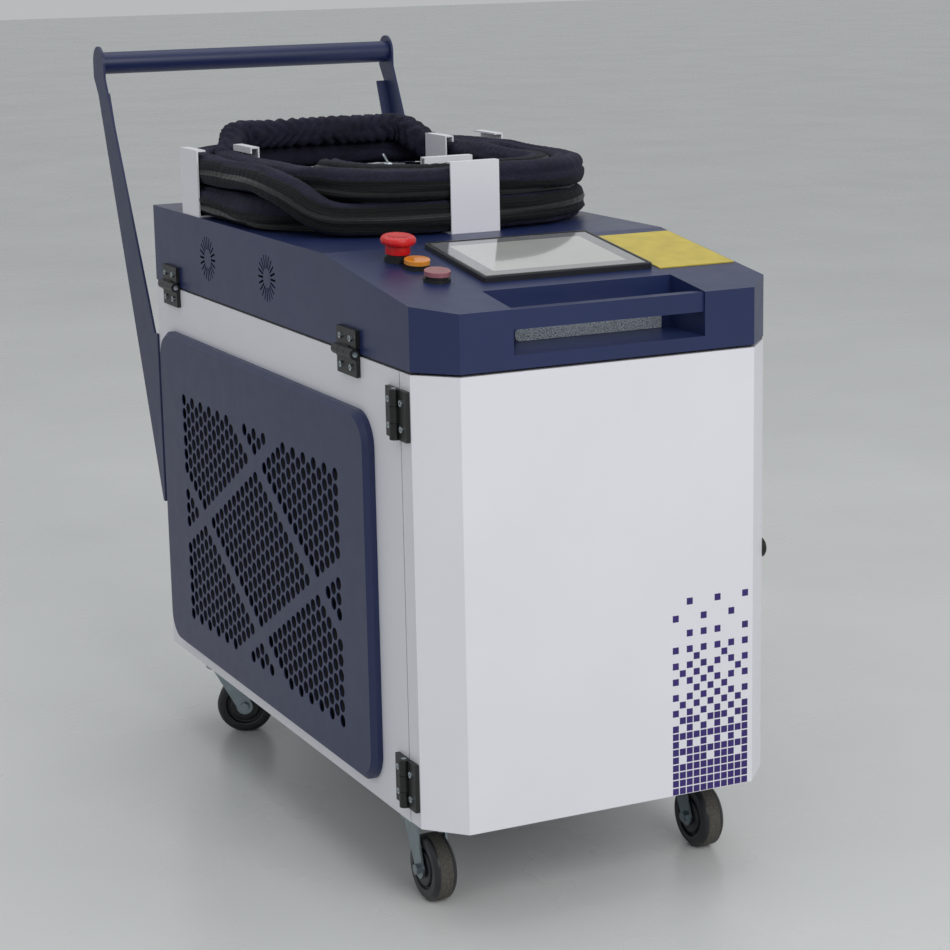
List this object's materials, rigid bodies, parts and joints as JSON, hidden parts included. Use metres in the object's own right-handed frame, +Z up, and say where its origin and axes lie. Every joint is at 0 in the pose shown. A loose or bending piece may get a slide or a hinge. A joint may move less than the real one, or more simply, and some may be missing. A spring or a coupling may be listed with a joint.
{
  "type": "laser cleaning machine",
  "caption": "Wheeled laser cleaning machine: sheet metal cabinet with sloped control desk, perforated side grilles, push handle, swivel casters and a hose coiled on its hinged lid.",
  "frame": {"origin": "centre of the bounding box on the floor the wheels stand on", "axes": "+Z up, the front door faces -Y, the push handle is at +Y, the hinges are on -X"},
  "size_m": [0.455, 1.092, 0.9109],
  "materials": {
    "white_paint": "satin powder coat",
    "navy_paint": "satin powder coat",
    "violet_paint": "satin powder coat",
    "sheet_steel": "galvanised",
    "zinc": "bright zinc",
    "black_metal": "satin black",
    "black_plastic": "matte",
    "gloss_black": "gloss",
    "screen": "glossy",
    "yellow_plate": "satin",
    "red_plastic": "gloss",
    "orange_plastic": "translucent gloss",
    "foam": "matte",
    "sleeve": "woven",
    "rubber": "matte",
    "tyre": "matte",
    "aluminium": "satin",
    "white_plastic": "matte",
    "board": "satin"
  },
  "bodies": {
    "cabinet": {"left_side_panel": "white_paint", "right_side_panel": "white_paint", "back_panel": "white_paint", "base_tray": "sheet_steel", "front_frame": "sheet_steel", "equipment_shelf": "sheet_steel", "power_supply": "sheet_steel", "left_grille_panel": "violet_paint", "right_grille_panel": "violet_paint", "left_handle_arm": "violet_paint", "right_handle_arm": "violet_paint", "push_bar": "violet_paint", "dust_filters": "foam", "fixed_hinge_leaves": "black_metal", "compressor": "black_metal", "laser_source": "black_metal", "hinge_pins": "zinc", "caster_plates": "zinc", "cabinet_screws": "zinc", "condenser": "aluminium", "power_inlet_gland": "black_plastic", "breaker_box": "black_plastic", "water_pump": "black_plastic", "water_tank": "white_plastic", "control_board": "board"},
    "door": {"front_door": "white_paint", "door_hinge_leaves": "black_metal", "door_screws": "zinc", "lock_body": "black_metal"},
    "lid": {"lid_cover": "navy_paint", "lid_seal": "rubber", "lid_hinge_leaves": "black_metal", "lid_screws": "zinc", "pull_bar": "navy_paint", "screen_bezel": "gloss_black", "screen_glass": "screen", "notice_plate": "yellow_plate", "button_collars": "black_plastic", "hose_holders": "white_paint", "lid_fan_frames": "black_plastic", "hose_outlet": "black_plastic", "hose_coil": "sleeve", "cleaning_head": "aluminium"},
    "lock": {"lock_barrel": "zinc"},
    "stop": {"stop_head": "red_plastic"},
    "orange": {"orange_button": "orange_plastic"},
    "red": {"red_button": "red_plastic"},
    "front_fan": {"lid_fan_rotor_front": "black_plastic"},
    "rear_fan": {"lid_fan_rotor_rear": "black_plastic"},
    "condenser_fan": {"condenser_fan_rotor": "black_plastic"},
    "breaker": {"breaker_lever": "black_plastic"},
    "trigger": {"head_trigger": "red_plastic"},
    "fork_front_left": {"caster_fork_front_left": "zinc"},
    "wheel_front_left": {"caster_wheel_front_left": "tyre"},
    "fork_front_right": {"caster_fork_front_right": "zinc"},
    "wheel_front_right": {"caster_wheel_front_right": "tyre"},
    "fork_rear_left": {"caster_fork_rear_left": "zinc"},
    "wheel_rear_left": {"caster_wheel_rear_left": "tyre"},
    "fork_rear_right": {"caster_fork_rear_right": "zinc"},
    "wheel_rear_right": {"caster_wheel_rear_right": "tyre"}
  },
  "joints": [
    {"name": "lid_hinge", "type": "hinge", "parent": "cabinet", "child": "lid", "pos_m": [-0.2213, -0.048, 0.612], "axis": [0, -1, 0], "range_deg": [0, 85]},
    {"name": "door_hinge", "type": "hinge", "parent": "cabinet", "child": "door", "pos_m": [-0.2213, -0.476, 0.36], "axis": [0, 0, -1], "range_deg": [0, 110]},
    {"name": "door_lock", "type": "hinge", "parent": "door", "child": "lock", "pos_m": [0.205, -0.49, 0.367], "axis": [-1, 0, 0], "range_deg": [0, 75]},
    {"name": "stop_press", "type": "slide", "parent": "lid", "child": "stop", "axis": [0, 0.1326, -0.9912], "range_m": [0, 0.004]},
    {"name": "orange_press", "type": "slide", "parent": "lid", "child": "orange", "axis": [0, 0.1326, -0.9912], "range_m": [0, 0.003], "stiffness_N_per_m": 800, "springref_m": -0.001},
    {"name": "red_press", "type": "slide", "parent": "lid", "child": "red", "axis": [0, 0.1326, -0.9912], "range_m": [0, 0.003], "stiffness_N_per_m": 800, "springref_m": -0.001},
    {"name": "front_fan_spin", "type": "hinge", "parent": "lid", "child": "front_fan", "pos_m": [-0.203, -0.096, 0.662], "axis": [1, 0, 0], "continuous": true},
    {"name": "rear_fan_spin", "type": "hinge", "parent": "lid", "child": "rear_fan", "pos_m": [-0.203, 0.111, 0.662], "axis": [1, 0, 0], "continuous": true},
    {"name": "condenser_fan_spin", "type": "hinge", "parent": "cabinet", "child": "condenser_fan", "pos_m": [-0.15, 0.068, 0.227], "axis": [1, 0, 0], "continuous": true},
    {"name": "breaker_switch", "type": "hinge", "parent": "cabinet", "child": "breaker", "pos_m": [0.11, 0.343, 0.19], "axis": [-1, 0, 0], "range_deg": [0, 50]},
    {"name": "trigger_pull", "type": "hinge", "parent": "lid", "child": "trigger", "pos_m": [0.01263, 0.15405, 0.7363], "axis": [0, 0, 1], "range_deg": [0, 10], "stiffness_Nm_per_rad": 0.5, "springref_deg": -5.73},
    {"name": "swivel_front_left", "type": "hinge", "parent": "cabinet", "child": "fork_front_left", "pos_m": [-0.172, -0.412, 0.095], "axis": [0, 0, 1], "continuous": true},
    {"name": "roll_front_left", "type": "hinge", "parent": "fork_front_left", "child": "wheel_front_left", "pos_m": [-0.172, -0.438, 0.0375], "axis": [1, 0, 0], "continuous": true},
    {"name": "swivel_front_right", "type": "hinge", "parent": "cabinet", "child": "fork_front_right", "pos_m": [0.172, -0.412, 0.095], "axis": [0, 0, 1], "continuous": true},
    {"name": "roll_front_right", "type": "hinge", "parent": "fork_front_right", "child": "wheel_front_right", "pos_m": [0.172, -0.438, 0.0375], "axis": [1, 0, 0], "continuous": true},
    {"name": "swivel_rear_left", "type": "hinge", "parent": "cabinet", "child": "fork_rear_left", "pos_m": [-0.172, 0.234, 0.095], "axis": [0, 0, 1], "continuous": true},
    {"name": "roll_rear_left", "type": "hinge", "parent": "fork_rear_left", "child": "wheel_rear_left", "pos_m": [-0.14863, 0.2226, 0.0375], "axis": [0.4384, 0.8988, 0], "continuous": true},
    {"name": "swivel_rear_right", "type": "hinge", "parent": "cabinet", "child": "fork_rear_right", "pos_m": [0.172, 0.234, 0.095], "axis": [0, 0, 1], "continuous": true},
    {"name": "roll_rear_right", "type": "hinge", "parent": "fork_rear_right", "child": "wheel_rear_right", "pos_m": [0.18089, 0.20957, 0.0375], "axis": [0.9397, 0.342, 0], "continuous": true}
  ]
}
